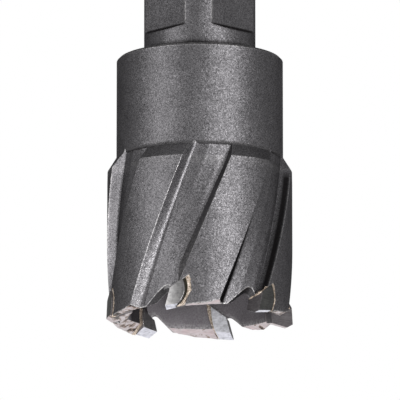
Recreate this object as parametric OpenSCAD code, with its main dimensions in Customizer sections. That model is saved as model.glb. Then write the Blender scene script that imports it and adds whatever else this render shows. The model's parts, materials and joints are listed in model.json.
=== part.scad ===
// Carbide-tipped annular cutter with a flatted round shank, standing on its teeth.
// Millimetres. +Z runs along the spindle axis towards the shank, and z = 0 is the plane of the tooth tips.
// Angles run round the axis from the front (-Y) towards +X.

/* [Cutting end] */
// diameter across the outer corners of the carbide tips
cut_d = 32; // [29:0.5:36]
// how far each tip stands out past its land
tip_out = 0.25; // [0.1:0.05:0.4]
// how far each tip stands in past the bore
tip_in = 0.3; // [0.1:0.05:0.4]
// wall of the fluted tube, measured through a land
wall = 3.05; // [2.8:0.05:3.4]
// height of the land's outer edge above the tips, where the tube's end was turned
end_lift = 0.2; // [0.1:0.05:0.5]
// slope of the turned end, rising towards the bore
end_slope = 27; // [15:1:30]

/* [Flutes] */
// depth of a flute below the land
flute_depth = 1.8; // [1.4:0.05:2.0]
// length of the helix for one full turn
lead = 240; // [200:5:320]
// angle of a flute, measured at the land's surface
flute_angle = 30.4; // [26:0.2:34]
// angle that the wall ahead of a land leans over
lead_wall = 2.5; // [0:0.1:5]
// angle that the wall behind a land leans over
trail_wall = 5; // [0:0.1:6]
// angle of the second facet of the floor, beside the wall ahead of a land
floor_facet = 6.2; // [3:0.1:10]
// how far the floor is hollowed at the line between its two facets
floor_hollow = 0.05; // [0.05:0.05:0.25]
// how far the flutes run up into the collar
flute_runout = 0.3; // [0.1:0.05:1]

/* [Teeth] */
// angle of the first cutting edge from the front
first_edge = -21.9; // [-30:0.1:30]
// angle from a cutting edge back to its land's corner
edge_ahead = 2.15; // [1.5:0.05:3]
// how much smaller than the cutting diameter the circle of the tips' lowest points is
peak_in = 2; // [1:0.1:3]
// lean of the rake face from the axis
rake = 15.6; // [10:0.2:20]
// height of the tip's front face
front_h = 3.58; // [3.2:0.02:3.8]
// slope of the tip's top behind the front face
top_slope = 38; // [34:0.5:42]
// radius of the tip's round back
back_r = 3.9; // [3.8:0.01:4.1]
// centre of the round back ahead of the cutting edge
back_ahead = 0.3; // [0.25:0.01:0.4]
// centre of the round back above the tips
back_up = 2.8; // [2.6:0.01:3]
// rise of the outer clearance face per millimetre outwards
outer_rise = 0.55; // [0.3:0.01:0.7]
// rise of the tip's inner clearance face per millimetre inwards
inner_rise = 0.28; // [0.15:0.01:0.4]
// rise of the body's inner clearance face per millimetre inwards
heel_rise = 0.08; // [0.02:0.01:0.2]
// clearance angle ground on the tips
tip_relief = 7.4; // [5:0.1:8]
// clearance angle ground on the lands behind the tips
heel_relief = 8.8; // [8.2:0.1:11]

/* [Braze] */
// width of the braze seam
seam = 0.3; // [0.2:0.01:0.4]
// extra width that the seam gains towards its upper end
seam_grow = 0.3; // [0.15:0.01:0.35]

/* [Gullets] */
// top of a gullet above the tips, on the floor of the flute
gullet_h = 4.45; // [4.2:0.05:4.7]
// radius of the gullet's round top
gullet_r = 1.35; // [1.1:0.05:1.5]
// how far the gullet runs past the rake face into the tip's pocket
gullet_over = 0.3; // [0.1:0.05:0.4]
// slope of the gullet ahead of its round top
gullet_slope = 28; // [22:0.5:34]
// length of that slope
gullet_run = 6.2; // [5.6:0.1:6.6]
// tilt of the gullet, rising outwards
gullet_tilt = 40; // [30:1:45]

/* [Body] */
// height of the top of the lands, where their bevel starts
land_top = 26.3; // [24:0.1:27]
// height of the collar's lower edge, just below the end of the flutes
collar_bottom = 28.8; // [28:0.1:31]
// step from the lands in to the collar
collar_step = 1.55; // [1.3:0.05:1.7]
// height of the collar's top face
shoulder = 46; // [44:0.5:50]
// edge bevel round the collar's top
collar_edge = 0.35; // [0.2:0.05:0.8]
// height of the core cavity's roof
roof = 38; // [34:0.5:40]
// bevel round the cavity's roof
roof_edge = 0.8; // [0.4:0.1:1.5]

/* [Shank] */
// shank diameter
shank_d = 19.05; // [18.5:0.05:19.5]
// shank length above the collar
shank_len = 32; // [30:0.5:36]
// bevel at the shank's end
shank_edge = 1.2; // [0.5:0.1:2]
// depth of each clamping flat
flat_depth = 1.42; // [1.2:0.01:1.8]
// lower end of the flats above the collar
flat_start = 4; // [3:0.1:6]
// length of the flats
flat_len = 19; // [16:0.5:22]
// angle from the front to the middle of the first flat
first_flat = -46.3; // [-60:0.1:-30]
// angle between the two flats
flat_gap = 90; // [80:1:100]
// diameter of the bore for the pilot pin
pilot_d = 8; // [6.4:0.05:8.2]
// bevel at the pilot bore's mouth
pilot_edge = 0.5; // [0.3:0.1:1]

/* [Hidden] */
teeth = 6;
pitch = 360 / teeth;
cut_r = cut_d / 2;
land_r = cut_r - tip_out;
bore_r = land_r - wall;
tip_bore_r = bore_r - tip_in;
floor_r = land_r - flute_depth;
peak_r = cut_r - peak_in / 2;
collar_r = land_r - collar_step;
shank_r = shank_d / 2;
pilot_r = pilot_d / 2;
top = shoulder + shank_len;
end_rise = wall * tan(end_slope);
rake_t = tan(rake);
turn = 360 / lead;
// room that a cut runs past the metal it removes
past = 1;
// length of the clearance ground behind a cutting edge, out past the back of its land
heel_len = land_r * sin(edge_ahead + pitch - flute_angle) + 2 * past;
// facets of a full round
round_fn = 96;
// straight steps along a flute's helix
flute_steps = 15;

steel = [0.3, 0.3, 0.31];
carbide = [0.62, 0.63, 0.64];
braze = [0.62, 0.5, 0.38];

// a point at radius r and angle a from the front
function polar(r, a) = [r * sin(a), -r * cos(a)];

// the point past the land's surface on the line from a flute's inner corner a to its outer corner b
function beyond(a, b) = b + (b - a) * past / flute_depth;

// places a tooth's own frame: x back along the cut, -y outwards, z up
module at_tooth(k) {
    rotate([0, 0, first_edge + pitch * (k - 1)])
        children();
}

// turns a flat outline (back, up) into a bar that runs from the axis outwards
module outwards(from, to) {
    translate([0, -from, 0])
        rotate([90, 0, 0])
            linear_extrude(height = to - from)
                children();
}

// the turned blank: tube, collar and shank in one, with the cavity and pilot bore
// its seam lies at the back, opposite the middle between the two flats
module blank() {
    rotate([0, 0, first_flat + flat_gap / 2 + 90])
        rotate_extrude($fn = round_fn)
            polygon([
                [bore_r, end_lift + end_rise],
                [land_r, end_lift],
                [land_r, land_top],
                [collar_r, collar_bottom],
                [collar_r, shoulder - collar_edge],
                [collar_r - collar_edge, shoulder],
                [shank_r, shoulder],
                [shank_r, top - shank_edge],
                [shank_r - shank_edge, top],
                [pilot_r + pilot_edge, top],
                [pilot_r, top - pilot_edge],
                [pilot_r, roof],
                [bore_r - roof_edge, roof],
                [bore_r, roof - roof_edge]
            ]);
}

// one flute: a five-sided section that follows the helix up to the collar
module flute() {
    lead_out = polar(land_r, 0);
    lead_in = polar(floor_r, -lead_wall);
    facet = polar(floor_r - floor_hollow, -lead_wall - floor_facet);
    trail_in = polar(floor_r, -flute_angle + trail_wall);
    trail_out = polar(land_r, -flute_angle);
    height = past + collar_bottom + flute_runout;
    translate([0, 0, -past])
        rotate([0, 0, edge_ahead - turn * past])
            linear_extrude(height = height, twist = -turn * height, slices = flute_steps, segments = 5)
                polygon([beyond(lead_in, lead_out), lead_in, facet, trail_in, beyond(trail_in, trail_out)]);
}

// one gullet: the notch ahead of a tip, round at its top and tilted so that chips leave outwards
module gullet() {
    lean = atan(rake_t / cos(gullet_tilt));
    mid = [gullet_over + rake_t * gullet_h - gullet_r * (tan(lean) + 1 / cos(lean)), -gullet_r];
    slope_end = mid + gullet_r * [-sin(gullet_slope), cos(gullet_slope)];
    rake_end = mid + gullet_r * [cos(lean), -sin(lean)];
    low_end = slope_end - gullet_run * [cos(gullet_slope), sin(gullet_slope)];
    reach = (flute_depth + past) / cos(gullet_tilt);
    drop = gullet_h + past;
    translate([0, -floor_r, gullet_h])
        rotate([-gullet_tilt, 0, 0])
            outwards(-reach, reach) {
                polygon([
                    slope_end,
                    low_end,
                    low_end - [0, drop / 2],
                    rake_end - drop * [sin(lean), cos(lean)],
                    rake_end
                ]);
                translate(mid)
                    circle(r = gullet_r, $fn = round_fn);
            }
}

// the space under a tooth's two clearance faces, which meet in a ridge through the cutting edge's low point
module clearance(inner, relief, length) {
    low = 4 * past;
    outer = cut_r + 2 * past;
    core = bore_r - 2 * past;
    rotate([0, -relief, 0])
        translate([-past, 0, 0])
            rotate([90, 0, 90])
                linear_extrude(height = length + past)
                    polygon([
                        [-peak_r, 0],
                        [-outer, (outer - peak_r) * outer_rise],
                        [-outer, -low],
                        [-core, -low],
                        [-core, (peak_r - core) * inner]
                    ]);
}

// everything behind a tip's straight front and under its straight top, down to a floor
module behind_front(floor) {
    front = [rake_t * front_h, front_h];
    far = 2 * back_r;
    polygon([
        [floor * rake_t, floor],
        front,
        front + far * [cos(top_slope), sin(top_slope)],
        [far, floor]
    ]);
}

// the round back of a tip
module tip_round() {
    translate([-back_ahead, back_up])
        circle(r = back_r, $fn = round_fn);
}

// the round back of a pocket, wider than the tip by the seam
module pocket_round() {
    translate([-back_ahead + seam_grow, back_up + seam_grow])
        circle(r = back_r + seam, $fn = round_fn);
}

// side view of a tip
module tip_outline() {
    intersection() {
        behind_front(-past);
        tip_round();
    }
}

// side view of the pocket that holds a tip and its seam
module pocket_outline() {
    intersection() {
        behind_front(-past);
        pocket_round();
    }
}

// side view of a seam: the crescent between the tip and its pocket
module seam_outline() {
    difference() {
        intersection() {
            behind_front(0);
            pocket_round();
        }
        tip_round();
    }
}

// one carbide tip, ground outside, inside and underneath
module tip() {
    tip_height = back_up + back_r + 2 * past;
    difference() {
        intersection() {
            outwards(tip_bore_r - 2 * past, cut_r + past)
                tip_outline();
            translate([0, 0, -past])
                cylinder(r = cut_r, h = tip_height, $fn = round_fn);
        }
        translate([0, 0, -past])
            cylinder(r = tip_bore_r, h = tip_height, $fn = round_fn);
        clearance(inner_rise, tip_relief, back_r + 2 * past);
    }
}

// one braze seam: fills the pocket behind its tip, flush with the land, the bore and the ground end
module seam_solid() {
    difference() {
        intersection() {
            outwards(bore_r - past, land_r + past)
                seam_outline();
            blank();
        }
        clearance(heel_rise, heel_relief, heel_len);
    }
}

module cutter_body() {
    color(steel)
        difference() {
            blank();
            for (k = [1 : teeth])
                at_tooth(k)
                    flute();
            for (k = [1 : teeth])
                at_tooth(k)
                    gullet();
            for (k = [1 : teeth])
                at_tooth(k)
                    clearance(heel_rise, heel_relief, heel_len);
            for (k = [1 : teeth])
                at_tooth(k)
                    outwards(bore_r - 2 * past, land_r + past)
                        pocket_outline();
            for (a = [first_flat, first_flat + flat_gap])
                rotate([0, 0, a])
                    translate([-shank_r, -shank_r - past, shoulder + flat_start])
                        cube([shank_d, flat_depth + past, flat_len]);
        }
}

module carbide_tip(k) {
    color(carbide)
        at_tooth(k)
            tip();
}

module braze_seam(k) {
    color(braze)
        at_tooth(k)
            seam_solid();
}

cutter_body();
for (k = [1 : teeth]) {
    carbide_tip(k);
    braze_seam(k);
}
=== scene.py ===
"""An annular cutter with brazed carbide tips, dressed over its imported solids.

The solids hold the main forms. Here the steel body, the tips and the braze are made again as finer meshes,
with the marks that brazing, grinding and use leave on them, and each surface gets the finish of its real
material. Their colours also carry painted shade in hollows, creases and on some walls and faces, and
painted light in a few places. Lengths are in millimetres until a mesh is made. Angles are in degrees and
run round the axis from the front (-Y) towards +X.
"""

import json
import math

import bmesh
import bpy
import numpy as np
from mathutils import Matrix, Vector


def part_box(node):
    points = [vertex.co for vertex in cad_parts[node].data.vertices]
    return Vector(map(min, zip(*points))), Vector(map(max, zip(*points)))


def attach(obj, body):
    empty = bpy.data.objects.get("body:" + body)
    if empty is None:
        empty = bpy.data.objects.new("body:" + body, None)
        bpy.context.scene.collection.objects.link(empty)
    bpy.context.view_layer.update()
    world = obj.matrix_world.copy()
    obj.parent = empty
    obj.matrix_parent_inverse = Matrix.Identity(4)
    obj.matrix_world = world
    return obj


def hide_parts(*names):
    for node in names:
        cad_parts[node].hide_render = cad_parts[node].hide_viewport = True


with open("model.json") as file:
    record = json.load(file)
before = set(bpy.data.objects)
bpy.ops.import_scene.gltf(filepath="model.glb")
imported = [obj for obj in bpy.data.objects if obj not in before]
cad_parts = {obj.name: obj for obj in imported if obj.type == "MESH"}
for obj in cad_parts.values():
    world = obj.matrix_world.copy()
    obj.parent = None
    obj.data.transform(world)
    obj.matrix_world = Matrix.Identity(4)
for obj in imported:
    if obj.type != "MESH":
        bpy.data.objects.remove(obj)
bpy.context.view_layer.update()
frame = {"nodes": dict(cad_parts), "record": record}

MM = 0.001

# Sizes read from the frame
mounts = {mount["name"]: mount for mount in frame["record"]["mounts"]}
flats = [mounts["left_flat"]["pos_m"], mounts["right_flat"]["pos_m"]]
TEETH = sum(name.startswith("carbide_tip_") for name in frame["nodes"])
PITCH = 360 / TEETH
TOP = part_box("cutter_body")[1][2] / MM
SHOULDER = mounts["shoulder"]["pos_m"][2] / MM
SHANK_R = mounts["shank"]["dims"]["r_mm"]
PILOT_R = mounts["pilot_bore"]["dims"]["r_mm"]
FLAT_OUT = math.hypot(flats[0][0], flats[0][1]) / MM
FLAT_ANGLES = [math.degrees(math.atan2(x, -y)) for x, y, z in flats]

# Tube, collar and shank, in millimetres
CUT_R = 16.0
LAND_R = 15.75
BORE_R = 12.7
TIP_BORE_R = 12.4
COLLAR_R = 14.2
LAND_TOP = 26.3
COLLAR_LOW = 28.8
COLLAR_EDGE = 0.35
SHANK_EDGE = 1.2
FLAT_LOW = SHOULDER + 4.4
FLAT_HIGH = SHOULDER + 23
FLAT_RAMP = 0.49
ROOF = 38.0
ROOF_EDGE = 0.8
PILOT_EDGE = 0.5
END_LIFT = 0.2
END_RISE = math.tan(math.radians(27))

# Flutes: radii in millimetres, angles from the land's leading corner
FLOOR_R = 13.95
FACET_R = 13.97
FACETS = [-14.1, -4.7]
TURN = 1.5
LEAD_OUT = 2.15
LEAD_IN = LEAD_OUT - 2.5
TRAIL_OUT = LEAD_OUT - 30.4
TRAIL_IN = TRAIL_OUT + 4.0
TRAIL_ROUND = 0.35
TRAIL_HOLLOW = 0.14
FLUTE_END = 28.5
FLUTE_PEAK = 0.7
FLUTE_PEAK_WIDTH = 1.3
# the leading wall's foot spreads by this many degrees at these heights
FOOT_HEIGHTS = [5.0, 7.5, 11.8, 15.3, 21.0, 25.0]
FOOT_SPREAD = [0.0, -4.0, -2.4, -1.3, 0.1, 1.7]

# Teeth: x runs back along the cut from the cutting edge
FIRST_EDGE = -21.9
PEAK_R = 15.0
RAKE = math.tan(math.radians(15.6))
FRONT_TOP = 3.58
TOP_RISE = math.tan(math.radians(36))
# how far each tip's top falls towards the bore, per millimetre
TOP_TILT = np.array([0.25, 0.25, 0.25, 0.0, 0.25, 0.25])
# how far each tip climbs from its ridge to its outer end, per millimetre
OUTER_RISE = np.array([0.55, 0.2, 0.55, 0.55, 0.55, 0.55])
TIP_INNER_RISE = 0.28
TIP_RELIEF = math.radians(7.4)
# how far each tip leads at its inner end, per millimetre
TIP_HOOK = np.array([0.0, 0.0, 0.0, 0.24, 0.0, 0.0])
# how far ahead each tip is seated
TIP_LEAD = np.array([0.0, 0.0, 0.0, 0.0, 0.7, 0.0])
# the tip whose inside is a pale satin copy of the carbide, as painted light, those nearly black outside and
# those that take the ground ends' finish below, with its heat stain and painted dark reflection
PAINTED_LIGHT_INSIDE = 3
DARK_OUTSIDE = (1, 5)
TINTED_BELOW = (2, 5)
# a rough length of the tips, from which their surfaces are worked out
TIP_LENGTH = 3.0

# Lands behind the tips: how far they climb outwards per millimetre, and between which x the climb grows
HEEL_R = 14.1
LAND_OUTER_RISE = 0.06
HEEL_OUTER_RISE = 0.42
HEEL_CORNER_RISE = 0.27
HEEL_CLIMB = [3, 8.5]
CORNER_CLIMB = [6.5, 9]
HEEL_RELIEF = math.radians(7.2)
HEEL_LENGTH = 10.3
# the land that is notched behind its tip, and the notch's height at the cutting edge and the bore, its fall
# backwards per millimetre and its roof
NOTCHED = 2
NOTCH_TOP = 3.05
NOTCH_FALL = 0.487
NOTCH_ROOF = 2.1

# Round backs of the tips and of their pockets, as centre (x, z) and radius: the first tip sits more tilted in
# its seat and the fourth has a flatter back
TIP_ROUNDS = np.array([(-0.3, 2.8, 3.9)] * TEETH)
TIP_ROUNDS[[0, 3]] = (-0.12, 3.35, 3.59), (-9.5, 5.5, 13.2)
POCKET_ROUNDS = np.array([(0.0, 3.1, 4.2)] * TEETH)
POCKET_ROUNDS[[0, 3]] = (0.4, 3.9, 4.05), (-8.74, 7.0, 13.2)

# Braze: the groove beside a tip, as a depth and a share of the seam's width, how far the bead stands proud,
# its lumps, the wander of its edge as a share of the width, and the radius of the bead on top of each tip
GROOVE = 0.2
GROOVE_END = 0.42
BEAD_PROUD = 0.04
BEAD_LUMPS = 0.025
BEAD_WANDER = 0.12
FILLET_R = [0.06, 0.24, 0.22, 0.08, 0.08, 0.1]

# Gullets, tilted so that they rise outwards
GULLET_TOP = 4.45
GULLET_R = 1.35
GULLET_OVER = 0.3
GULLET_SLOPE = math.radians(28)
GULLET_TILT = math.radians(40)

# Small rounds that blasting and use leave on every corner, and the angle above which an edge is drawn sharp
EASE = 0.13
LIP = 0.045
TIP_BEVEL = 0.05
SHARP = math.radians(28)

# Search for the tube's end: the height it starts from, its steps, and how often the last step is halved
SCAN_TOP = 7
SCAN_STEPS = 141
HALVINGS = 14

# Wear, from 0 for none to 1 for bare metal, how far it reaches from an edge in millimetres, and the widths in
# degrees of a worn edge and of a shaded foot along the flutes
WEAR_REACH = 0.3
EDGE_WIDTH = 0.25
FOOT_WIDTH = 0.5
SHANK_WEAR = 0.5
PILOT_WEAR = 0.3
FLAT_WEAR = 0.6
COLLAR_WEAR = 0.4
BEVEL_WEAR = 0.15
TRAIL_EDGE_WEAR = 0.8
# the trailing edge in the flute with painted shade, worn less so that it stays dark
SHADED_FLUTE_EDGE_WEAR = 0.1
LEAD_EDGE_WEAR = 0.4
LEAD_FOOT_WEAR = 0.25
TRAIL_WALL_WEAR = 0.1
LEAD_WALL_WEAR = 0.8
RIM_WEAR = 0.8
# the gullet with a painted pool of light on its roof, and the angles of that patch
PAINTED_LIGHT_GULLET = 0
PAINTED_LIGHT_ANGLES = (-10.5, -4)
ROOF_PAINTED_LIGHT = 0.4

# Painted shade, from 0 for none to 1 for near black
PAINTED_SHADE = 0.95
SHANK_FOOT_SHADE = 0.9
GULLET_SHADE = 0.6
CREASE_SHADE = 0.55
# the flute whose walls get painted shade, by the land behind it, and the painted shade on each flute's
# trailing wall
SHADED_FLUTE = 1
TRAIL_SHADE = np.array([0.0, 1.0, 0.0, 0.0, 0.0, 0.2])
# the land with painted shade inside, on the bore behind its tip
SHADED_BORE = 4
BORE_SHADE = 0.9

# Range over which the blasted grains lean, as a share of the surface's normal
GRAIN_LEAN = 0.17

# Finishes of the steel body, by their material slot
BLASTED, GROUND, TURNED = range(3)

# Finishes of a tip, by their material slot
DIAMOND_GROUND, SINTERED, SATIN, BRIGHT, NEAR_BLACK, TINTED = range(6)


# Shapes


def smooth_max(a, b, width):
    """The larger of a and b, with the corner between them filled by a parabola of that width."""
    blend = np.maximum(width - np.abs(a - b), 0)
    return np.maximum(a, b) + blend * blend / (4 * width)


def smooth_min(a, b, width):
    """The smaller of a and b, with the corner between them eased by a parabola of that width."""
    return -smooth_max(-a, -b, width)


def bell(value, middle, width):
    """The bell curve exp(-((value - middle) / width)^2), which is 1 at its middle."""
    return np.exp(-(((value - middle) / width) ** 2))


def chord(angle, start, end):
    """Radius of the straight line through two polar points, start and end, at an angle."""
    (r0, a0), (r1, a1) = start, end
    turn = np.radians(np.subtract.outer(np.array([a0, a1]), angle))
    cross = r0 * r1 * math.sin(math.radians(a1 - a0))
    return cross / (r1 * np.sin(turn[1]) - r0 * np.sin(turn[0]))


def eased_steps(stops, counts):
    """Values that run through the stops and crowd at each: t - 0.9 sin(2 pi t) / (2 pi) between two."""
    runs = []
    for low, high, count in zip(stops, stops[1:], counts):
        t = np.arange(count) / count
        runs.append(low + (high - low) * (t - 0.9 * np.sin(2 * np.pi * t) / (2 * np.pi)))
    return np.concatenate(runs)


def flute_section(delta):
    """Radius of the tube's section at an angle behind a cutting edge.

    It is the land's circle, lowered to the lines of the flute's two walls, which are in turn raised to the
    three facets of its floor. The trailing wall is hollow by TRAIL_HOLLOW. Smooth minima and maxima ease the
    corners, and the trailing wall's foot is rounder. Past a few degrees each wall's line is held, because it
    would turn back.
    """
    left, right = [(FACET_R, angle) for angle in FACETS]
    floor = chord(delta, left, right)
    floor = smooth_min(floor, chord(delta, (FLOOR_R, TRAIL_IN), left), EASE / 4)
    floor = smooth_min(floor, chord(delta, right, (FLOOR_R, LEAD_IN)), EASE / 4)
    trail = (LAND_R, TRAIL_OUT), (FLOOR_R, TRAIL_IN)
    ahead = chord(np.minimum(delta, LEAD_OUT + 3), (FLOOR_R, LEAD_IN), (LAND_R, LEAD_OUT))
    share = np.clip((delta - TRAIL_OUT) / (TRAIL_IN - TRAIL_OUT), 0, 1)
    behind = chord(np.minimum(delta, TRAIL_IN + 12), *trail) - TRAIL_HOLLOW * 4 * share * (1 - share)
    next_flute = chord(np.maximum(delta - PITCH, TRAIL_OUT - 4), *trail)
    section = smooth_max(smooth_max(floor, ahead, EASE), behind, TRAIL_ROUND)
    return smooth_min(smooth_min(section, LAND_R, EASE), next_flute, EASE)


def shank_section(angle):
    """Radius of the shank where the flats are: the round, lowered to each flat's straight line."""
    radius = np.full_like(angle, SHANK_R)
    for middle in FLAT_ANGLES:
        radius = smooth_min(radius, FLAT_OUT / np.maximum(np.cos(np.radians(angle - middle)), 0.5), EASE / 3)
    return radius


def tip_clearance(x, out, outer_rise):
    """Height of a tip's ground end: two planes that meet in a ridge at PEAK_R and climb backwards."""
    ridge = np.where(out > PEAK_R, (out - PEAK_R) * outer_rise, (PEAK_R - out) * TIP_INNER_RISE)
    return (ridge + x * math.sin(TIP_RELIEF)) / math.cos(TIP_RELIEF)


def land_clearance(x, out, tooth):
    """Height of the clearance ground on a land: level up to HEEL_R, and climbing outwards and backwards.

    The outward climb grows towards the heel, up to HEEL_OUTER_RISE, and by HEEL_CORNER_RISE in its last part.
    One land has a notch behind its tip, which climbs outwards at 45 degrees up to its roof.
    """
    radius = np.hypot(x, out)
    ridge = np.maximum(out - HEEL_R, 0) * np.interp(x, HEEL_CLIMB, [LAND_OUTER_RISE, HEEL_OUTER_RISE])
    ridge = ridge + np.maximum(radius - HEEL_R, 0) * np.interp(x, CORNER_CLIMB, [0, HEEL_CORNER_RISE])
    notch = np.minimum(NOTCH_TOP - NOTCH_FALL * x + radius - BORE_R, NOTCH_ROOF)
    notch = notch * (tooth % TEETH == NOTCHED)
    return np.maximum((ridge + x * math.sin(HEEL_RELIEF)) / math.cos(HEEL_RELIEF), notch)


def front_top(out, tooth):
    """Height of a tip's front face, which falls towards the bore."""
    return FRONT_TOP - TOP_TILT[tooth % TEETH] * (CUT_R - out)


def in_gullet(x, out, z):
    """True in the gullet: a circle, or below its slope, below its chord and ahead of its rake side."""
    lean = math.atan(RAKE / math.cos(GULLET_TILT))
    mid_u = GULLET_OVER + RAKE * GULLET_TOP - GULLET_R * (math.tan(lean) + 1 / math.cos(lean))
    mid_w = -GULLET_R
    u = x - mid_u
    w = (z - GULLET_TOP) * math.cos(GULLET_TILT) + (FLOOR_R - out) * math.sin(GULLET_TILT) - mid_w
    in_circle = u * u + w * w < GULLET_R**2
    under_slope = w * math.cos(GULLET_SLOPE) - u * math.sin(GULLET_SLOPE) < GULLET_R
    ahead_of_rake = u * math.cos(lean) - w * math.sin(lean) < GULLET_R
    left = np.array([-math.sin(GULLET_SLOPE), math.cos(GULLET_SLOPE)])
    right = np.array([math.cos(lean), -math.sin(lean)])
    normal = left + right
    under_chord = u * normal[0] + w * normal[1] < GULLET_R * float(left @ normal)
    return in_circle | (under_slope & ahead_of_rake & under_chord)


def in_pocket(x, out, z, tooth):
    """True in a tip's pocket: behind its straight front, under its straight top and inside its round back."""
    cx, cz, radius = POCKET_ROUNDS[tooth % TEETH].T
    x = x + TIP_HOOK[tooth % TEETH] * (CUT_R - out) + TIP_LEAD[tooth % TEETH]
    behind = x > RAKE * z
    under = z < front_top(out, tooth) + TOP_RISE * (x - RAKE * FRONT_TOP)
    return behind & under & ((x - cx) ** 2 + (z - cz) ** 2 < radius**2)


def end_cuts(delta, r, z, tooth):
    """What has cut the tube's end at a twisted angle from a tooth, radius and height, as (ground, milled)."""
    ground = z < END_LIFT + (LAND_R - r) * END_RISE
    milled = np.zeros(np.broadcast(delta, r, z).shape, bool)
    for ahead in (0, 1):
        angle = np.radians(delta + TURN * z + PITCH * ahead)
        x = r * np.sin(angle)
        out = r * np.cos(angle)
        behind_edge = (x > -1) & (x < HEEL_LENGTH)
        ground = ground | (behind_edge & (z < land_clearance(x, out, tooth - ahead)))
        milled = milled | in_pocket(x, out, z, tooth - ahead) | in_gullet(x, out, z)
    return ground, milled


def end_height(delta, r, tooth):
    """Height of the tube's end at each angle and radius, and where it is ground.

    It is the highest z that a cut reaches. A scan from above finds the first height that is cut, and halving
    the step before it settles it.
    """
    heights = np.linspace(SCAN_TOP, 0, SCAN_STEPS)
    cut = np.logical_or(*end_cuts(delta[None], r[None], heights[:, None, None], tooth))
    first = cut.argmax(axis=0)
    low = heights[first]
    high = heights[first - 1]
    for _ in range(HALVINGS):
        middle = (low + high) / 2
        cut = np.logical_or(*end_cuts(delta, r, middle, tooth))
        low = np.where(cut, middle, low)
        high = np.where(cut, high, middle)
    ground, milled = end_cuts(delta, r, low - 0.002, tooth)
    return low, ground & ~milled


def round_points(radius, angle, z):
    """Points in metres at a radius and an angle from the front."""
    a = np.radians(angle)
    return np.stack([radius * np.sin(a), -radius * np.cos(a), z + 0 * a], axis=-1) * MM


def tooth_points(x, out, z, tooth):
    """Points in metres at places in a tooth's frame: x back, out from the axis and z up."""
    angle = math.radians(FIRST_EDGE + PITCH * tooth)
    across = x * math.cos(angle) + out * math.sin(angle)
    along = x * math.sin(angle) - out * math.cos(angle)
    return np.stack([across, along, z], axis=-1) * MM


def ring_faces(rows, columns):
    """Corner numbers of the quads of a grid that closes on itself both ways."""
    row, column = np.meshgrid(np.arange(rows), np.arange(columns), indexing="ij")
    below = (row + 1) % rows * columns
    beside = (column + 1) % columns
    return np.stack([row * columns + column, below + column, below + beside, row * columns + beside], axis=-1)


def body_columns():
    """Twisted angles of the body's columns: each tooth's, crowded at its corners, and the flats' edges."""
    stops = [TRAIL_OUT, TRAIL_IN, *FACETS, LEAD_IN, LEAD_OUT, LEAD_OUT + 11, TRAIL_OUT + PITCH]
    tooth = eased_steps(stops, [16, 20, 16, 14, 12, 44, 26])
    half = math.degrees(math.acos(FLAT_OUT / SHANK_R))
    near = np.array([-0.9, -0.45, -0.15, 0.15, 0.45, 0.9])
    flat_edges = np.concatenate([middle + side * half + near for middle in FLAT_ANGLES for side in (-1, 1)])
    teeth = np.add.outer(FIRST_EDGE + PITCH * np.arange(TEETH), tooth).ravel()
    start = FIRST_EDGE + TRAIL_OUT
    every = np.sort(np.concatenate([teeth, (flat_edges - TURN * COLLAR_LOW - start) % 360 + start]))
    return every[np.append(np.diff(every) > 0.01, True)]


def flute_wear(delta, flute):
    """Wear and painted shade at an angle across a flute: of the trailing edge, other corners, creases, and
    two walls.

    A line is a bell curve round its angle, and a wall has its full weight between its corners. Painted shade
    is
    a value below zero: on both walls of the shaded flute and lightly on one other trailing wall, on the floor
    beside each trailing wall's foot, and on that foot in the other flutes. The creases get painted shade
    lower down in body_grid.
    """
    # all but the flute with painted shade
    unshaded = flute != SHADED_FLUTE

    def wall(stops, weight):
        return np.interp(delta, stops, [0, weight, weight, 0])

    trail_edge = np.maximum(bell(delta, TRAIL_OUT, EDGE_WIDTH), bell(delta, TRAIL_OUT + PITCH, EDGE_WIDTH))
    trail_edge = trail_edge * np.where(unshaded, TRAIL_EDGE_WEAR, SHADED_FLUTE_EDGE_WEAR)
    lead_edge = LEAD_EDGE_WEAR * bell(delta, LEAD_OUT, EDGE_WIDTH)
    lead_foot = LEAD_FOOT_WEAR * bell(delta, LEAD_IN, EDGE_WIDTH) * unshaded
    # painted shade: on the walls of the shaded flute, lightly on one other trailing wall, and beside and on
    # the trailing walls' feet
    lead_shade = wall([0.4, 0.8, 1.85, 2.05], 1) * ~unshaded
    trail_stops = [TRAIL_OUT + 0.3, TRAIL_OUT + 0.7, TRAIL_IN - 0.2, TRAIL_IN + 0.2]
    trail_shade = wall(trail_stops, 1) * TRAIL_SHADE[flute]
    floor_shade = 0.3 * bell(delta, TRAIL_IN + 0.9, FOOT_WIDTH)
    foot_shade = 0.25 * bell(delta, TRAIL_IN - 0.2, FOOT_WIDTH) * unshaded
    corner = np.maximum(lead_edge, lead_foot) - PAINTED_SHADE * (lead_shade + trail_shade) - floor_shade - foot_shade
    # the creases at the trailing walls' feet, which take painted shade further down
    narrow = bell(delta, TRAIL_IN + 0.4, EDGE_WIDTH)
    wide = 1.2 * bell(delta, TRAIL_IN + 1.5, FOOT_WIDTH)
    creases = np.maximum(narrow, wide) * unshaded
    trail_stops = [TRAIL_OUT + 0.4, TRAIL_OUT + 1.5, TRAIL_IN - 0.3, TRAIL_IN + 0.2]
    trail_wall = wall(trail_stops, TRAIL_WALL_WEAR) * unshaded
    lead_stops = [LEAD_IN - 0.3, LEAD_IN + 0.3, LEAD_OUT - 0.4, LEAD_OUT]
    lead_wall = wall(lead_stops, LEAD_WALL_WEAR) * unshaded
    return trail_edge, corner, creases, trail_wall, lead_wall


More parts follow.
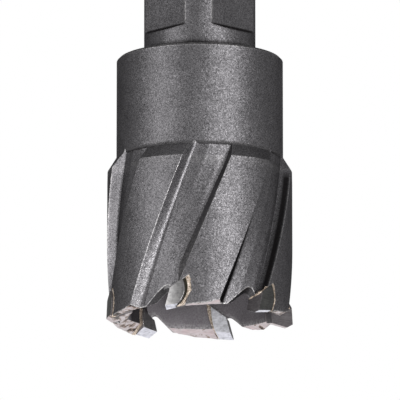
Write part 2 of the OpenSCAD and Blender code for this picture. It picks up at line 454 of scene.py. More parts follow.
def body_grid():
    """The whole steel body as one closed grid.

    Each column is a line at a fixed angle that turns with the flutes. It runs from the shank's top down the
    outside, across the ground end, up the bore and the pilot hole and back to the top. Returns, as arrays of
    rows by columns, the angle, radius, height and finish of every point, and one value for its worn edges,
    painted shade and painted light. Below zero that value is painted shade, which lies in gullets, pockets
    and creases, on the walls of the shaded flute, at the feet of the trailing walls, at the lower ends of the
    flats, at the shank's foot and behind one tip in the bore. A painted pool of light lies on one gullet's
    roof.
    """
    phi = body_columns()
    tooth = ((phi - FIRST_EDGE - TRAIL_OUT) // PITCH).astype(int)
    delta = phi - FIRST_EDGE - PITCH * tooth
    flute = (tooth + (delta > LEAD_OUT + 8)) % TEETH
    section = flute_section(delta)
    trail_edge, corner, creases, trail_wall, lead_wall = flute_wear(delta, flute)
    spread = np.interp(delta, [FACETS[1] - 5, LEAD_IN, LEAD_OUT], [0, 1, 0]) * (flute != SHADED_FLUTE)
    # the part of one gullet's roof that gets a painted pool of light
    painted_light_roof = (tooth == PAINTED_LIGHT_GULLET) & (delta > PAINTED_LIGHT_ANGLES[0]) & (delta < PAINTED_LIGHT_ANGLES[1])
    flute_end = FLUTE_END + FLUTE_PEAK * bell(delta, TRAIL_IN, FLUTE_PEAK_WIDTH)
    collar_angle = phi + TURN * COLLAR_LOW
    flat = shank_section(collar_angle)
    depth = SHANK_R - flat
    on_flat = np.clip(depth / 0.3, 0, 1)
    in_front = np.cos(np.radians(collar_angle)) > 0.8
    flat_edge = bell(depth, 0.06, 0.12) * (flat < SHANK_R) * in_front
    rows = []

    def cone(z):
        climb = (LAND_R - COLLAR_R) * (COLLAR_LOW - z) / (COLLAR_LOW - LAND_TOP)
        return np.maximum(COLLAR_R + climb, COLLAR_R)

    def row(z, r, edge=0.0, finish=BLASTED):
        rows.append([np.broadcast_to(np.asarray(value, float), phi.shape) for value in (r, z, edge, finish)])

    # shank, from its end down to the collar's top face
    row(TOP, PILOT_R + PILOT_EDGE, PILOT_WEAR)
    row(TOP, SHANK_R - SHANK_EDGE - WEAR_REACH)
    row(TOP, SHANK_R - SHANK_EDGE, SHANK_WEAR)
    row(TOP - SHANK_EDGE, SHANK_R, SHANK_WEAR)
    row(TOP - SHANK_EDGE - WEAR_REACH, SHANK_R)
    row(FLAT_HIGH + WEAR_REACH, SHANK_R)
    row(FLAT_HIGH, SHANK_R, FLAT_WEAR * on_flat)
    for z in np.linspace(FLAT_HIGH - 0.05, FLAT_LOW + 0.8, 5):
        row(z, flat, FLAT_WEAR * flat_edge)
    # painted shade: a near-black band on each flat just above its lower end
    flat_end = FLAT_LOW - depth * FLAT_RAMP
    shade = depth * 0.5 + 0.1
    row(flat_end + shade + 0.2, flat)
    row(flat_end + shade, flat, -PAINTED_SHADE * on_flat)
    row(flat_end + 0.05, flat, -PAINTED_SHADE * on_flat)
    row(flat_end, SHANK_R, -0.4 * on_flat)
    row(flat_end - WEAR_REACH, SHANK_R)
    # painted shade at the shank's foot, just above the collar
    row(SHOULDER + 1.8, SHANK_R)
    row(SHOULDER + 1.1, SHANK_R, -SHANK_FOOT_SHADE)
    row(SHOULDER, SHANK_R + 0.1, -SHANK_FOOT_SHADE)
    # collar, down to the end of the flutes
    row(SHOULDER, COLLAR_R - COLLAR_EDGE - WEAR_REACH)
    row(SHOULDER, COLLAR_R - COLLAR_EDGE, COLLAR_WEAR)
    row(SHOULDER - COLLAR_EDGE, COLLAR_R, COLLAR_WEAR)
    row(SHOULDER - COLLAR_EDGE - 0.2, COLLAR_R)
    row(38, COLLAR_R)
    row(np.maximum(flute_end, COLLAR_LOW) + 0.4, COLLAR_R)
    row(np.maximum(flute_end, COLLAR_LOW) + 0.05, COLLAR_R, BEVEL_WEAR)
    # bevel from the collar out to the lands
    row(flute_end + 0.03, cone(flute_end + 0.03), BEVEL_WEAR)
    flute_end_wear = 0.4 * np.clip((LAND_R - section) / 0.5, 0, 1)
    row(flute_end - 0.03, smooth_min(section, cone(flute_end), EASE / 4), flute_end_wear)
    for t in np.linspace(0.14, 0.98, 15):
        z = COLLAR_LOW + (LAND_TOP - COLLAR_LOW) * t
        wear_light_and_shade = np.maximum(0.6 * corner + 0.5 * trail_edge, BEVEL_WEAR * (t > 0.9))
        row(z, smooth_min(section, cone(z), EASE / 2), wear_light_and_shade)
    # flutes and lands, down to the end
    low, _ = end_height(delta, section[None], tooth)
    start = low[0] + LIP
    for t in np.linspace(0, 1, 27)[1:-1] ** 0.8:
        wear_light_and_shade = corner + trail_edge * (1 - 0.6 * t) + trail_wall * t**2 + lead_wall * t**2
        # painted shade along the creases at the trailing walls' feet, from a third of the way down the flutes
        crease_shade = CREASE_SHADE * creases * np.clip((t - 0.3) / 0.15, 0, 1)
        row(LAND_TOP + (start - LAND_TOP) * t, section, wear_light_and_shade - crease_shade)
    row(start + 0.17, section, corner + trail_wall + lead_wall)
    row(start + 0.1, section, 0.9)
    row(start, section, 1.0)
    # ground end, from the outside in to the bore
    fraction = np.linspace(0, 1, 15)[:, None]
    radii = section - LIP + (BORE_R + LIP - section + LIP) * fraction
    heights, ground = end_height(np.broadcast_to(delta, radii.shape), radii, tooth)
    for radius, height, is_ground, share in zip(radii, heights, ground, fraction[:, 0]):
        # painted shade in the gullets and pockets, and a painted pool of light on part of one gullet's roof
        milled_light_and_shade = np.where(painted_light_roof & (share < 0.4), ROOF_PAINTED_LIGHT, -GULLET_SHADE)
        wear_light_and_shade = RIM_WEAR if share in (0, 1) else np.where(is_ground, 0, milled_light_and_shade)
        row(height, radius, wear_light_and_shade, np.where(is_ground, GROUND, BLASTED))
    # bore, cavity roof and pilot hole
    start = heights[-1] + LIP
    # painted shade on the bore behind one tip, near its lower end
    behind_tip = np.interp(delta, [0, 0.3, 24, 31], [0, BORE_SHADE, BORE_SHADE, 0]) * (tooth == SHADED_BORE)
    for t in np.linspace(0, 1, 12) ** 1.5:
        bore_shade = behind_tip * (t < 0.1)
        wear_light_and_shade = np.where(bore_shade > 0, -bore_shade, 0.6 * (t == 0))
        row(start + (ROOF - ROOF_EDGE - start) * t, BORE_R, wear_light_and_shade, TURNED)
    row(ROOF, BORE_R - ROOF_EDGE, 0, TURNED)
    row(ROOF, PILOT_R + 0.25, 0, TURNED)
    row(ROOF + 0.25, PILOT_R, 0.2, TURNED)
    row((ROOF + TOP) / 2, PILOT_R, 0, TURNED)
    row(TOP - PILOT_EDGE, PILOT_R, PILOT_WEAR, TURNED)

    radius, z, edge, finish = np.array(rows).transpose(1, 0, 2)
    foot = np.interp(z, FOOT_HEIGHTS, FOOT_SPREAD) * spread * (radius > BORE_R)
    return phi + TURN * np.minimum(z, COLLAR_LOW) + foot, radius, z, edge, finish


def turned_outwards(points, faces):
    """The faces, with their corners in reverse if they enclose a negative volume."""
    a, b, c, d = (points[faces[:, corner]] for corner in range(4))
    volume = np.einsum("ij,ij->", a, np.cross(b, c) + np.cross(c, d))
    return faces if volume > 0 else faces[:, ::-1]


def new_piece(name, points, faces, materials):
    """A mesh object at the origin from arrays of points and quads, shaded smooth."""
    mesh = bpy.data.meshes.new(name)
    mesh.from_pydata(points, [], faces)
    for material in materials:
        mesh.materials.append(material)
    mesh.shade_smooth()
    piece = bpy.data.objects.new(name, mesh)
    bpy.context.collection.objects.link(piece)
    return piece


def steel_body(materials):
    """The steel body, with its worn edges, painted shade and painted light as one attribute and each face in
    the material of its finish.
    """
    angle, radius, z, edge, finish = body_grid()
    points = round_points(radius, angle, z).reshape(-1, 3)
    faces = ring_faces(*angle.shape).reshape(-1, 4)
    faces = turned_outwards(points, faces)
    body = new_piece("steel_body", points, faces, materials)
    wear_light_and_shade = body.data.attributes.new("edge_wear_light_and_shade", "FLOAT", "POINT")
    wear_light_and_shade.data.foreach_set("value", edge.ravel())
    corners = finish.ravel()[faces]
    ground = (corners == GROUND).mean(axis=1) > 0.6
    turned = (corners == TURNED).all(axis=1)
    body.data.polygons.foreach_set("material_index", (ground * GROUND + turned * TURNED).astype(np.int32))
    body.data.set_sharp_from_angle(angle=SHARP)
    return body


def block_piece(name, surface, stops, materials, sides, tooth, bevel):
    """A six-sided block from surface(u, v, w), which gives (x, out, z) in a tooth's frame.

    The parameters run from 0 to 1. Each side is a grid on which one of them is 0 or 1, in the material that
    sides gives for it. The grids are merged along their edges, which a bevel eases unless it is 0. The
    parameters stay on the points as the attribute place.
    """
    points = []
    places = []
    faces = []
    slots = []
    count = 0
    for fixed in range(3):
        first, second = [axis for axis in range(3) if axis != fixed]
        for end in (0.0, 1.0):
            grid = np.meshgrid(stops[first], stops[second], indexing="ij")
            parameters = [None, None, None]
            parameters[first], parameters[second] = grid
            parameters[fixed] = np.full_like(grid[0], end)
            x, out, z = surface(*parameters)
            points.append(np.stack([x, out, z], axis=-1).reshape(-1, 3))
            places.append(np.stack(parameters, axis=-1).reshape(-1, 3))
            rows, columns = grid[0].shape
            row, column = np.meshgrid(np.arange(rows - 1), np.arange(columns - 1), indexing="ij")
            corner = count + row * columns + column
            quads = np.stack([corner, corner + columns, corner + columns + 1, corner + 1], axis=-1)
            faces.append(quads.reshape(-1, 4))
            slots.append(np.full((rows - 1) * (columns - 1), sides[fixed][int(end)], np.int32))
            count += rows * columns
    piece = new_piece(name, tooth_points(*np.concatenate(points).T, tooth), np.concatenate(faces), materials)
    piece.data.polygons.foreach_set("material_index", np.concatenate(slots))
    place = piece.data.attributes.new("place", "FLOAT_VECTOR", "POINT")
    place.data.foreach_set("vector", np.concatenate(places).ravel())
    merged = bmesh.new()
    merged.from_mesh(piece.data)
    bmesh.ops.remove_doubles(merged, verts=merged.verts, dist=1e-7)
    bmesh.ops.recalc_face_normals(merged, faces=merged.faces)
    merged.to_mesh(piece.data)
    merged.free()
    piece.data.shade_smooth()
    piece.data.set_sharp_from_angle(angle=SHARP)
    if bevel:
        ease = piece.modifiers.new("eased_edges", "BEVEL")
        ease.width = bevel * MM
        ease.segments = 2
        ease.limit_method = "ANGLE"
        ease.angle_limit = SHARP
        ease.harden_normals = True
    return piece


def arc_point(circle, angle):
    """A point (x, z) of a circle given by its centre and radius."""
    cx, cz, radius = circle
    return cx + radius * np.cos(angle), cz + radius * np.sin(angle)


def arc_top(circle, out, tooth):
    """Angle at which a circle's back meets a tip's straight top, on the line from the front's top corner."""
    cx, cz, radius = circle
    x0 = RAKE * FRONT_TOP - cx
    z0 = front_top(out, tooth) - cz
    c, s = math.cos(math.atan(TOP_RISE)), math.sin(math.atan(TOP_RISE))
    b = x0 * c + z0 * s
    along = -b + np.sqrt(b * b - (x0 * x0 + z0 * z0 - radius * radius))
    return np.arctan2(z0 + along * s, x0 + along * c)


def arc_foot(circle, out, floor):
    """Angle at which a circle's back meets the ground end under it, by a few rounds of substitution."""
    cx, cz, radius = circle
    x = np.full_like(out, cx + 0.9 * radius)
    for _ in range(8):
        z = floor(x, out)
        x = cx + np.sqrt(radius * radius - (z - cz) ** 2)
    return np.arctan2(z - cz, x - cx)


def tip_surface_of(tooth):
    """A carbide tip: u runs back, v up and w out.

    In side view it is the patch between the rake line, the sloped top, the round back and the ground end,
    with its edges blended as a Coons patch. Across, it runs from its own bore to the cutting circle, with a
    stop at the ridge. Its inner end leads by TIP_HOOK per millimetre, and the whole tip by TIP_LEAD. The
    place out depends on x, so three rounds settle both.
    """
    circle = TIP_ROUNDS[tooth]

    def floor(x, out):
        return tip_clearance(x, out, OUTER_RISE[tooth])

    def surface(u, v, w):
        x = u * TIP_LENGTH
        for _ in range(3):
            seated = x - TIP_LEAD[tooth]
            inner = np.sqrt(TIP_BORE_R**2 - seated**2)
            outer = np.sqrt(CUT_R**2 - seated**2)
            within = inner + (PEAK_R - inner) * 2 * w
            beyond = PEAK_R + (outer - PEAK_R) * (2 * w - 1)
            out = np.where(w < 0.5, within, beyond)
            foot_z = floor(0 * out, out)
            foot_z = floor(RAKE * foot_z, out)
            foot = np.stack([RAKE * foot_z, foot_z])
            peak = np.stack([RAKE * front_top(out, tooth), front_top(out, tooth)])
            heel_angle = arc_foot(circle, out, floor)
            top_angle = arc_top(circle, out, tooth)
            heel = np.stack(arc_point(circle, heel_angle))
            back_top = np.stack(arc_point(circle, top_angle))
            back = np.stack(arc_point(circle, heel_angle + (top_angle - heel_angle) * v))
            front = foot + (peak - foot) * v
            bottom = foot + (heel - foot) * u
            top = peak + (back_top - peak) * u
            corners = (foot * (1 - u) + heel * u) * (1 - v) + (peak * (1 - u) + back_top * u) * v
            x, z = front * (1 - u) + back * u + bottom * (1 - v) + top * v - corners
        return x - TIP_HOOK[tooth] * (CUT_R - out) - TIP_LEAD[tooth], out, z

    return surface


def braze_surface_of(tooth):
    """A braze seam: u runs from a tip's round back to its pocket's, v up along the arc and w outwards.

    Outside, the braze has sunk beside the tip by GROOVE, up to GROOVE_END of its width. Its bead stands a
    little proud of the land and its edge wanders, by sums of sines that differ per tooth. The place out
    depends on x, so three rounds from a rough x settle both.
    """
    circle = TIP_ROUNDS[tooth]
    pocket = POCKET_ROUNDS[tooth] + np.array([0, 0, 0.05])

    def wander(v, rate):
        return np.sin(rate * v + 2.1 * tooth) + 0.6 * np.sin(2.7 * rate * v + 4.3 * tooth)

    def floor(x, out):
        radius = np.sqrt(x * x + out * out)
        turned = END_LIFT + (LAND_R - radius) * END_RISE
        return np.maximum(turned, land_clearance(x - TIP_LEAD[tooth], out, tooth)) - 0.01

    def surface(u, v, w):
        x = 3.4 - 0.8 * v
        for _ in range(3):
            bead = BEAD_PROUD + BEAD_LUMPS * wander(v, 9) * (u < 1)
            proud = np.where(u < GROOVE_END, -GROOVE, bead) * (w == 1)
            radius = BORE_R - 0.02 + (LAND_R - BORE_R + 0.02 + proud) * w
            out = np.sqrt(radius**2 - (x - TIP_LEAD[tooth]) ** 2)
            near_angle = arc_foot(circle, out, floor)
            far_angle = arc_foot(pocket, out, floor)
            near = np.stack(arc_point(circle, near_angle + (arc_top(circle, out, tooth) - near_angle) * v))
            far = np.stack(arc_point(pocket, far_angle + (arc_top(pocket, out, tooth) - far_angle) * v))
            edge = 1 + BEAD_WANDER * wander(v, 14) * (w == 1) * (u == 1)
            x, z = near + (far - near) * u * edge
        return x - TIP_HOOK[tooth] * (CUT_R - out) - TIP_LEAD[tooth], out, z

    return surface


def top_bead(name, tooth, material):
    """A lumpy bead of braze along a tip's upper edge: a tube from the bore to the land, then back.

    Its radius is FILLET_R times 1 + 0.35 sin(15 t + tooth) + 0.25 sin(37 t + 2 tooth), and falls to nothing
    at both ends.
    """
    t = np.linspace(0, 1, 49)[:, None]
    turn = np.linspace(0, 2 * np.pi, 12, endpoint=False)[None]
    lumps = 1 + 0.35 * np.sin(15 * t + tooth) + 0.25 * np.sin(37 * t + 2 * tooth)
    radius = FILLET_R[tooth] * lumps * np.sqrt(np.maximum(1 - (2 * t - 1) ** 8, 0.001))
    legs = [0, 0.6, 1]
    out = np.interp(t, legs, [TIP_BORE_R, LAND_R - 0.15, LAND_R - 0.3])
    back = np.interp(t, legs, [0.1, 0.1, 1.6])
    x = RAKE * front_top(out, tooth) - TIP_LEAD[tooth] + back + radius * np.cos(turn)
    z = front_top(out, tooth) + 0.02 + back * TOP_RISE + radius * np.sin(turn)
    points = tooth_points(x, np.broadcast_to(out, x.shape), z, tooth).reshape(-1, 3)
    rows, columns = x.shape
    faces = ring_faces(rows, columns)[:-1].reshape(-1, 4)
    bead = new_piece(name, points, turned_outwards(points, faces), [material])
    place = bead.data.attributes.new("place", "FLOAT_VECTOR", "POINT")
    place.data.foreach_set("vector", np.ones(points.size))
    return bead


# Finishes


def linear(hex_colour):
    """A colour written as sRGB hex, as the linear values that a shader takes."""
    srgb = np.array([int(hex_colour[i:i + 2], 16) for i in (1, 3, 5)]) / 255
    values = np.where(srgb <= 0.04045, srgb / 12.92, ((srgb + 0.055) / 1.055) ** 2.4)
    return (*values.tolist(), 1.0)


def add(tree, kind, inputs=None, ramp=None, **settings):
    """One shader node: its settings, then each input as a value or a link, then its colour ramp's stops."""
    node = tree.nodes.new("ShaderNode" + kind)
    for key, value in settings.items():
        setattr(node, key, value)
    for socket, value in (inputs or {}).items():
        if isinstance(value, bpy.types.NodeSocket):
            tree.links.new(value, node.inputs[socket])
        else:
            node.inputs[socket].default_value = value
    for position, (place, colour) in enumerate(ramp or []):
        stops = node.color_ramp.elements
        stop = stops[position] if position < 2 else stops.new(place)
        stop.position = place
        stop.color = linear(colour)
    return node


def per_mm(size):
    """Scale of a pattern on Object coordinates whose features are that many millimetres apart."""
    return 1 / (size * MM)


def new_material(name):
    """An empty node material and its tree."""
    material = bpy.data.materials.new(name)
    material.use_nodes = True
    material.node_tree.nodes.clear()
    return material, material.node_tree


def oxide_steel(name, tones, roughness, metallic):
    """Blackened tool steel, as a pitted dark grey whose corners are rubbed back to bright metal.

    Its pits and grains are really about 0.05 mm. So that they show, the pits are drawn at 0.18 mm, the
    grains, which lean by GRAIN_LEAN, at 0.2 mm, and the specks of rubbed metal at 0.32 mm. Tones are the
    colours of the pits and of the peaks between them. Where the attribute of worn edges and painted light and
    shade is below zero, the steel is darkened towards near black as painted shade.
    """
    material, tree = new_material(name)
    place = add(tree, "TexCoord").outputs["Object"]
    pits = add(tree, "TexNoise", {"Vector": place, "Scale": per_mm(0.18), "Detail": 2.0, "Roughness": 0.6})
    cloud = add(tree, "TexNoise", {"Vector": place, "Scale": per_mm(4), "Detail": 3.0, "Roughness": 0.55})
    specks = add(tree, "TexNoise", {"Vector": place, "Scale": per_mm(0.32), "Detail": 1.0})
    wear_light_and_shade = add(tree, "Attribute", attribute_name="edge_wear_light_and_shade")
    tone = add(tree, "ValToRGB", {"Fac": pits.outputs["Fac"]}, ramp=[(0.28, tones[0]), (0.72, tones[1])])
    shade = add(tree, "ValToRGB", {"Fac": cloud.outputs["Fac"]}, ramp=[(0.3, "#e6e6e6"), (0.7, "#ffffff")])
    oxide = add(
        tree, "Mix", {0: 1.0, 6: tone.outputs["Color"], 7: shade.outputs["Color"]},
        data_type="RGBA", blend_type="MULTIPLY",
    )
    # painted shade: where the attribute is below zero, the colour is mixed towards near black
    dark = add(tree, "Math", {0: wear_light_and_shade.outputs["Fac"], 1: -1.0}, operation="MULTIPLY", use_clamp=True)
    shaded = add(
        tree, "Mix", {0: dark.outputs["Value"], 6: oxide.outputs[2], 7: linear("#262425")}, data_type="RGBA"
    )
    rub = add(
        tree, "MapRange",
        {"Value": specks.outputs["Fac"], "From Min": 0.38, "From Max": 0.6, "To Min": 0.1, "To Max": 1.0},
    )
    rubbed = add(
        tree, "Math", {0: wear_light_and_shade.outputs["Fac"], 1: rub.outputs["Result"]},
        operation="MULTIPLY", use_clamp=True,
    )
    colour = add(
        tree, "Mix", {0: rubbed.outputs["Value"], 6: shaded.outputs[2], 7: linear("#c0bebe")},
        data_type="RGBA",
    )
    grains = add(tree, "TexVoronoi", {"Vector": place, "Scale": per_mm(0.2)})
    lean = add(tree, "VectorMath", {0: grains.outputs["Color"], 1: (0.5, 0.5, 0.5)}, operation="SUBTRACT")
    facing = add(
        tree, "VectorMath",
        {0: lean.outputs["Vector"], 1: (GRAIN_LEAN,) * 3, 2: add(tree, "NewGeometry").outputs["Normal"]},
        operation="MULTIPLY_ADD",
    )
    facet = add(tree, "VectorMath", {0: facing.outputs["Vector"]}, operation="NORMALIZE")
    bump = add(
        tree, "Bump",
        {
            "Height": pits.outputs["Fac"], "Strength": 0.16, "Distance": 0.04 * MM,
            "Normal": facet.outputs["Vector"],
        },
    )
    shader = add(
        tree, "BsdfPrincipled",
        {
            "Base Color": colour.outputs[2], "Roughness": roughness, "Metallic": metallic,
            "Specular IOR Level": 0.1, "Specular Tint": linear("#8c8c8c"), "Normal": bump.outputs["Normal"],
        },
    )
    add(tree, "OutputMaterial", {"Surface": shader.outputs["BSDF"]})
    return material


def blasted_oxide_steel():
    """The outside, bead-blasted and then blackened: dark, with a broad sheen and a fine sparkle."""
    return oxide_steel("blasted_oxide_steel", ("#474648", "#949295"), 0.42, 0.95)


def turned_oxide_steel():
    """The bore, turned and then blackened: drier and paler than the outside, without its sheen."""
    return oxide_steel("turned_oxide_steel", ("#6a666a", "#8c888c"), 0.7, 0.3)


def ground_end_steel():
    """Tool steel, ground on the tooth ends: bright and slightly warm, with the wheel's lines 0.15 mm apart.

    Heat has stained it brown in patches. As painted dark reflection, the stain is shifted darker towards the
    left and on the near right, and lighter elsewhere.
    """
    material, tree = new_material("ground_end_steel")
    place = add(tree, "TexCoord").outputs["Object"]
    stretch = add(tree, "Mapping", {"Vector": place, "Rotation": (0.0, 0.0, 0.4), "Scale": (1.0, 6.0, 1.0)})
    lines = add(tree, "TexNoise", {"Vector": stretch.outputs["Vector"], "Scale": per_mm(0.9), "Detail": 3.0})
    stain = add(tree, "TexNoise", {"Vector": place, "Scale": per_mm(1.6), "Detail": 3.0, "Roughness": 0.6})
    metal = add(
        tree, "ValToRGB", {"Fac": lines.outputs["Fac"]},
        ramp=[(0.3, "#b4acae"), (0.7, "#dcd4d6")],
    )
    # painted dark reflection: the heat stain is shifted darker towards the left and on the near right, and
    # lighter elsewhere
    side = add(tree, "SeparateXYZ", {"Vector": place})
    left = add(
        tree, "MapRange",
        {
            "Value": side.outputs["X"], "From Min": -12 * MM, "From Max": -3 * MM,
            "To Min": -0.08, "To Max": 0.06,
        },
    )
    right = add(tree, "MapRange", {"Value": side.outputs["X"], "From Min": 9 * MM, "From Max": 11 * MM})
    near = add(
        tree, "MapRange",
        {"Value": side.outputs["Y"], "From Min": -2 * MM, "From Max": 2 * MM, "To Min": -0.14, "To Max": 0.0},
    )
    near_right = add(
        tree, "Math", {0: near.outputs["Result"], 1: right.outputs["Result"]}, operation="MULTIPLY"
    )
    painted_reflection_bias = add(tree, "Math", {0: left.outputs["Result"], 1: near_right.outputs["Value"]}, operation="ADD")
    stained = add(tree, "Math", {0: stain.outputs["Fac"], 1: painted_reflection_bias.outputs["Value"]}, operation="ADD")
    heat = add(
        tree, "ValToRGB", {"Fac": stained.outputs["Value"]},
        ramp=[(0.34, "#3a302a"), (0.41, "#b8a494"), (0.46, "#ffffff"), (0.7, "#fff4f4")],
    )
    colour = add(
        tree, "Mix", {0: 1.0, 6: metal.outputs["Color"], 7: heat.outputs["Color"]},
        data_type="RGBA", blend_type="MULTIPLY",
    )
    bump = add(tree, "Bump", {"Height": lines.outputs["Fac"], "Strength": 0.3, "Distance": 0.02 * MM})
    shader = add(
        tree, "BsdfPrincipled",
        {
            "Base Color": colour.outputs[2], "Roughness": 0.35, "Metallic": 0.85,
            "Normal": bump.outputs["Normal"],
        },
    )
    add(tree, "OutputMaterial", {"Surface": shader.outputs["BSDF"]})
    return material


def carbide(name, tones, roughness, metallic):
    """Tungsten carbide with grinding lines across the tip, really 0.05 mm apart and drawn at 0.16 mm."""
    material, tree = new_material(name)
    place = add(tree, "TexCoord").outputs["Object"]
    stretch = add(tree, "Mapping", {"Vector": place, "Scale": (1.0, 1.0, 7.0)})
    lines = add(tree, "TexNoise", {"Vector": stretch.outputs["Vector"], "Scale": per_mm(1.1), "Detail": 3.0})
    grain = add(tree, "TexNoise", {"Vector": place, "Scale": per_mm(0.6), "Detail": 3.0, "Roughness": 0.6})
    metal = add(tree, "ValToRGB", {"Fac": lines.outputs["Fac"]}, ramp=[(0.3, tones[0]), (0.7, tones[1])])
    speck = add(tree, "ValToRGB", {"Fac": grain.outputs["Fac"]}, ramp=[(0.32, "#d8d8d8"), (0.56, "#ffffff")])
    colour = add(
        tree, "Mix", {0: 1.0, 6: metal.outputs["Color"], 7: speck.outputs["Color"]},
        data_type="RGBA", blend_type="MULTIPLY",
    )
    bump = add(tree, "Bump", {"Height": lines.outputs["Fac"], "Strength": 0.08, "Distance": 0.02 * MM})
    shader = add(
        tree, "BsdfPrincipled",
        {
            "Base Color": colour.outputs[2], "Roughness": roughness, "Metallic": metallic,
            "Normal": bump.outputs["Normal"],
        },
    )
    add(tree, "OutputMaterial", {"Surface": shader.outputs["BSDF"]})
    return material


def ground_carbide():
    """A tip's outer and inner faces, diamond-ground: smooth, and glossy enough to go from light to dark."""
    return carbide("ground_carbide", ("#a09f9f", "#b8b6b6"), 0.28, 1.0)


def sintered_carbide():
    """A tip's front and back, left as they were sintered: dull and dark."""
    return carbide("sintered_carbide", ("#585456", "#767274"), 0.5, 0.4)


def satin_painted_light_carbide():
    """The inside of one tip: a satin copy of the carbide, made pale as painted light."""
    return carbide("satin_painted_light_carbide", ("#c8c8ce", "#e6e6ec"), 0.45, 0.45)


def near_black_carbide():
    """The outsides of two tips: nearly black, with a weak sheen."""
    return carbide("near_black_carbide", ("#3a3a3a", "#4e4e4c"), 0.42, 0.6)


def bright_carbide():
    """A tip's lower face, freshly ground: bright, with a cool cast."""
    return carbide("bright_carbide", ("#d4d4de", "#f0f0fa"), 0.3, 0.95)


def copper_silver_braze():
    """Copper-silver braze, blasted with the body: a dull tan bead with bright grains.

    Olive flux is left in its groove.
    """
    material, tree = new_material("copper_silver_braze")
    place = add(tree, "TexCoord").outputs["Object"]
    grain = add(tree, "TexNoise", {"Vector": place, "Scale": per_mm(0.25), "Detail": 3.0, "Roughness": 0.7})
    bead = add(
        tree, "ValToRGB", {"Fac": grain.outputs["Fac"]},
        ramp=[(0.34, "#766658"), (0.46, "#bcaa98"), (0.56, "#e0d0c0"), (0.66, "#fff6ec")],
    )
    seam = add(tree, "Attribute", attribute_name="place")
    across = add(tree, "SeparateXYZ", {"Vector": seam.outputs["Vector"]})
    flux = add(
        tree, "MapRange",
        {
            "Value": across.outputs["X"], "From Min": GROOVE_END - 0.06, "From Max": GROOVE_END + 0.1,
            "To Min": 1.0, "To Max": 0.0,
        },
    )
    outside = add(tree, "Math", {0: across.outputs["Z"], 1: 0.9}, operation="GREATER_THAN")
    left = add(tree, "Math", {0: flux.outputs["Result"], 1: outside.outputs["Value"]}, operation="MULTIPLY")
    colour = add(
        tree, "Mix", {0: left.outputs["Value"], 6: bead.outputs["Color"], 7: linear("#3a382e")},
        data_type="RGBA",
    )
    bump = add(tree, "Bump", {"Height": grain.outputs["Fac"], "Strength": 0.5, "Distance": 0.05 * MM})
    shader = add(
        tree, "BsdfPrincipled",
        {
            "Base Color": colour.outputs[2], "Roughness": 0.42, "Metallic": 0.9,
            "Normal": bump.outputs["Normal"],
        },
    )
    add(tree, "OutputMaterial", {"Surface": shader.outputs["BSDF"]})
    return material


def pale_card():
    """Matt white card for the floor, seen only from above: from below it lets the view through."""
    material, tree = new_material("pale_card")
    place = add(tree, "TexCoord").outputs["Object"]
    fibre = add(tree, "TexNoise", {"Vector": place, "Scale": per_mm(3), "Detail": 4.0})
    colour = add(tree, "ValToRGB", {"Fac": fibre.outputs["Fac"]}, ramp=[(0.3, "#efefef"), (0.7, "#f6f6f6")])
    path = add(tree, "LightPath")
    matt = add(tree, "BsdfDiffuse", {"Color": colour.outputs["Color"]})
    white = add(tree, "Emission", {"Color": colour.outputs["Color"], "Strength": 1.0})
    pale = add(tree, "Math", {0: path.outputs["Is Camera Ray"], 1: 0.8}, operation="MULTIPLY")
    bright = add(
        tree, "Math", {0: path.outputs["Is Glossy Ray"], 1: pale.outputs["Value"]}, operation="MAXIMUM"
    )
    card = add(
        tree, "MixShader", {0: bright.outputs["Value"], 1: matt.outputs["BSDF"], 2: white.outputs["Emission"]}
    )
    clear = add(tree, "BsdfTransparent")
    back = add(tree, "NewGeometry").outputs["Backfacing"]
    unseen = add(tree, "Math", {0: back, 1: path.outputs["Is Shadow Ray"]}, operation="MAXIMUM")
    shown = add(
        tree, "MixShader", {0: unseen.outputs["Value"], 1: card.outputs["Shader"], 2: clear.outputs["BSDF"]}
    )
    add(tree, "OutputMaterial", {"Surface": shown.outputs["Shader"]})
    return material


# Stage, light and camera

CARD_R = 24.0
CARD_LEVEL = -0.01
AMBIENT = 0.23
# grey of the room by height, as half of one plus the sine of the elevation
ROOM = [
    (0.2, "#303030"), (0.34, "#aaaaaa"), (0.62, "#969696"),
    (0.78, "#929292"), (0.85, "#202020"), (0.97, "#b4b4b4"),
]
# lamps, by name: azimuth, elevation, width and height in metres, and power
LAMP_DISTANCE = 0.7
LAMPS = {
    "right_softbox": (36, -11, 0.5, 0.95, 2.9),
    "right_lamp": (36, -11, 0.1, 0.1, 2.1),
    "left_softbox": (-54, -11, 0.52, 0.95, 2.8),
    "low_softbox": (-16, -31, 1.1, 0.35, 3.5),
}
# camera: degrees below level, distance in millimetres, and the photograph's frame
CAMERA_BELOW = 11.8
CAMERA_DISTANCE = 1121.0
IMAGE_PX = 400
PX_PER_MM = 5.875
AIM = (0.04, 0.0, 21.7)
SENSOR = 36.0


def set_stage():
    """A small round card under the teeth."""
    turn = np.arange(0, 360, 5)
    points = round_points(CARD_R, turn, CARD_LEVEL)
    floor = new_piece("floor_card", points, [list(range(len(turn)))], [pale_card()])


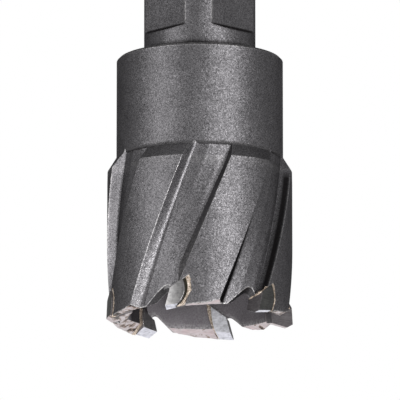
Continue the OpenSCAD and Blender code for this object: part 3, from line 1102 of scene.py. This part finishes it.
def set_world():
    """White for the camera, a grey room with a dark band overhead for reflections, else an even grey."""
    world = bpy.data.worlds.new("white_surround")
    bpy.context.scene.world = world
    world.use_nodes = True
    tree = world.node_tree
    tree.nodes.clear()
    path = add(tree, "LightPath")
    height = add(tree, "SeparateXYZ", {"Vector": add(tree, "TexCoord").outputs["Generated"]})
    half = add(tree, "MapRange", {"Value": height.outputs["Z"], "From Min": -1.0})
    room = add(tree, "ValToRGB", {"Fac": half.outputs["Result"]}, ramp=ROOM)
    mirrored = add(
        tree, "Math", {0: path.outputs["Is Glossy Ray"], 1: path.outputs["Is Transmission Ray"]},
        operation="MAXIMUM",
    )
    lit = add(
        tree, "MapRange",
        {"Value": mirrored.outputs["Value"], "To Min": AMBIENT, "To Max": room.outputs["Color"]},
    )
    seen = add(
        tree, "Math", {0: lit.outputs["Result"], 1: path.outputs["Is Camera Ray"]}, operation="MAXIMUM"
    )
    surround = add(tree, "Background", {"Color": linear("#ffffff"), "Strength": seen.outputs["Value"]})
    add(tree, "OutputWorld", {"Surface": surround.outputs["Background"]})


def direction(azimuth, elevation):
    """Unit vector from the cutter towards an azimuth, to the right of the front, and an elevation."""
    a, e = math.radians(azimuth), math.radians(elevation)
    return Vector((math.sin(a) * math.cos(e), -math.cos(a) * math.cos(e), math.sin(e)))


def soft_lamp(name, azimuth, elevation, width, height, power):
    """A rectangular studio lamp that faces the middle of the cutter."""
    lamp = bpy.data.lights.new(name, "AREA")
    lamp.shape = "RECTANGLE"
    lamp.size = width
    lamp.size_y = height
    lamp.energy = power
    obj = bpy.data.objects.new(name, lamp)
    obj.location = Vector(AIM) * MM + direction(azimuth, elevation) * LAMP_DISTANCE
    obj.rotation_euler = direction(azimuth, elevation).to_track_quat("Z", "Y").to_euler()
    bpy.context.collection.objects.link(obj)


def set_camera():
    """The camera stands in front of and below the cutter and looks up at it."""
    camera = bpy.data.cameras.new("camera")
    camera.sensor_width = SENSOR
    camera.lens = SENSOR * PX_PER_MM * CAMERA_DISTANCE / IMAGE_PX
    camera.clip_end = 10
    obj = bpy.data.objects.new("camera", camera)
    towards = direction(0, -CAMERA_BELOW)
    obj.location = Vector(AIM) * MM + towards * CAMERA_DISTANCE * MM
    obj.rotation_euler = towards.to_track_quat("Z", "Y").to_euler()
    bpy.context.collection.objects.link(obj)
    bpy.context.scene.camera = obj


def dress(piece, node):
    """Puts a piece in the place of its solid."""
    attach(piece, "root")
    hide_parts(node)


def build():
    """Makes every piece of the cutter."""
    steel = [blasted_oxide_steel(), ground_end_steel(), turned_oxide_steel()]
    tip_finishes = [
        ground_carbide(), sintered_carbide(), satin_painted_light_carbide(),
        bright_carbide(), near_black_carbide(), steel[GROUND],
    ]
    braze = copper_silver_braze()
    dress(steel_body(steel), "cutter_body")
    across = np.linspace(0, 1, 9)
    seam = np.array([0, 0.15, GROOVE_END - 0.04, GROOVE_END + 0.04, 0.6, 0.8, 0.93, 1])
    upward = np.linspace(0, 1, 25)
    ridge = np.linspace(0, 1, 11)
    for tooth in range(TEETH):
        number = tooth + 1
        # one tip's inside takes the pale satin copy, as painted light
        inside = SATIN if tooth == PAINTED_LIGHT_INSIDE else DIAMOND_GROUND
        outside = NEAR_BLACK if tooth in DARK_OUTSIDE else DIAMOND_GROUND
        below = TINTED if tooth in TINTED_BELOW else BRIGHT
        tip_sides = [(SINTERED, SINTERED), (below, SINTERED), (inside, outside)]
        tip = block_piece(
            f"carbide_tip_{number}_ground", tip_surface_of(tooth), [across, upward, ridge],
            tip_finishes, tip_sides, tooth, TIP_BEVEL,
        )
        dress(tip, f"carbide_tip_{number}")
        bead = block_piece(
            f"braze_seam_{number}_bead", braze_surface_of(tooth), [seam, upward, ridge],
            [braze], [(0, 0)] * 3, tooth, 0,
        )
        dress(bead, f"braze_seam_{number}")
        fillet = top_bead(f"braze_fillet_{number}", tooth, braze)
        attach(fillet, "root")


bpy.context.scene.view_settings.view_transform = "Standard"
set_camera()
set_world()
set_stage()
for lamp_name, lamp_setting in LAMPS.items():
    soft_lamp(lamp_name, *lamp_setting)
build()
